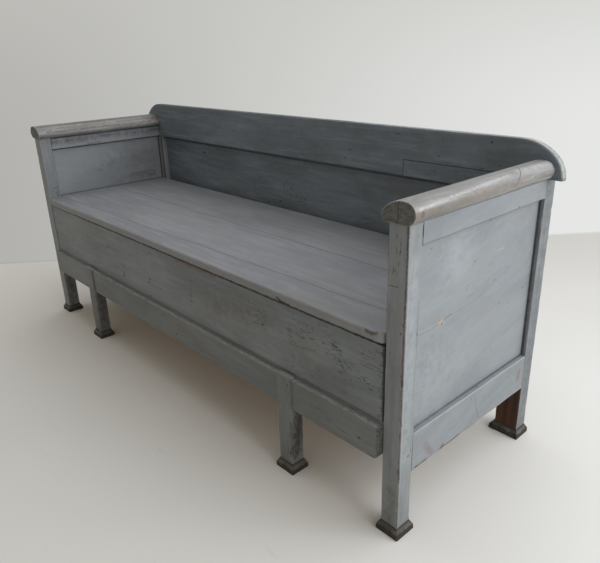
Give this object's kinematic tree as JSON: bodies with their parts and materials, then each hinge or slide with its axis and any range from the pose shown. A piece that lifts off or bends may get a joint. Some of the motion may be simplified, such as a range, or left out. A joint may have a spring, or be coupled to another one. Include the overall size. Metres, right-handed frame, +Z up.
{
  "type": "pull-out bench bed",
  "caption": "Long wooden bench bed with panelled ends, rolled armrests and a crested back; its legged front slides out to widen the slatted bed below a lift-off lid seat.",
  "frame": {"origin": "on the floor, in the middle of the bench's bounding box", "axes": "+X along the bench to the sitter's left hand (the picture's right end), +Y from the pull-out front to the back, +Z up"},
  "size_m": [1.872, 0.596, 0.808],
  "materials": {
    "painted_pine": "worn grey-blue paint",
    "worn_light_paint": "light paint rubbed through to the wood",
    "dark_worn_feet": "scuffed to dark wood",
    "bare_pine": "unpainted aged pine",
    "iron": "dull dark iron"
  },
  "bodies": {
    "bench_frame": {"left_front_post": "painted_pine", "left_front_foot": "dark_worn_feet", "left_rear_post": "painted_pine", "left_rear_foot": "dark_worn_feet", "left_bottom_rail": "painted_pine", "left_top_rail": "painted_pine", "left_lower_end_board": "painted_pine", "left_upper_end_board": "painted_pine", "left_armrest": "worn_light_paint", "left_runner": "bare_pine", "left_lid_cleat": "bare_pine", "right_front_post": "painted_pine", "right_front_foot": "dark_worn_feet", "right_rear_post": "painted_pine", "right_rear_foot": "dark_worn_feet", "right_bottom_rail": "painted_pine", "right_top_rail": "painted_pine", "right_lower_end_board": "painted_pine", "right_upper_end_board": "painted_pine", "right_armrest": "worn_light_paint", "right_runner": "bare_pine", "right_lid_cleat": "bare_pine", "crest_board": "painted_pine", "crest_patch": "painted_pine", "back_board": "painted_pine", "box_back_board": "bare_pine", "back_rail": "painted_pine", "lid_back_cleat": "bare_pine", "front_stretcher": "bare_pine", "rear_slat_bearer": "bare_pine", "fixed_slat_1": "bare_pine", "fixed_slat_2": "bare_pine", "fixed_slat_3": "bare_pine", "fixed_slat_4": "bare_pine", "fixed_slat_5": "bare_pine", "wooden_pegs": "bare_pine"},
    "lid": {"lid_front_board": "painted_pine", "lid_middle_board": "painted_pine", "lid_back_board": "painted_pine", "lid_left_batten": "bare_pine", "lid_middle_batten": "bare_pine", "lid_right_batten": "bare_pine", "batten_screws": "iron"},
    "pull_out": {"pullout_front_board": "painted_pine", "pullout_rail": "painted_pine", "left_inner_leg": "painted_pine", "left_inner_foot": "dark_worn_feet", "right_inner_leg": "painted_pine", "right_inner_foot": "dark_worn_feet", "pullout_left_side": "bare_pine", "pullout_right_side": "bare_pine", "pullout_slat_bearer": "bare_pine", "pullout_rear_bar": "bare_pine", "pullout_slat_1": "bare_pine", "pullout_slat_2": "bare_pine", "pullout_slat_3": "bare_pine", "pullout_slat_4": "bare_pine", "pullout_slat_5": "bare_pine", "pullout_slat_6": "bare_pine", "pullout_nails": "iron"}
  },
  "joints": [
    {"name": "pull_out_slide", "type": "slide", "parent": "bench_frame", "child": "pull_out", "axis": [0, -1, 0], "range_m": [0, 0.38]},
    {"name": "lid_lift", "type": "slide", "parent": "bench_frame", "child": "lid", "axis": [0, 0, 1], "range_m": [0, 0.225]}
  ]
}
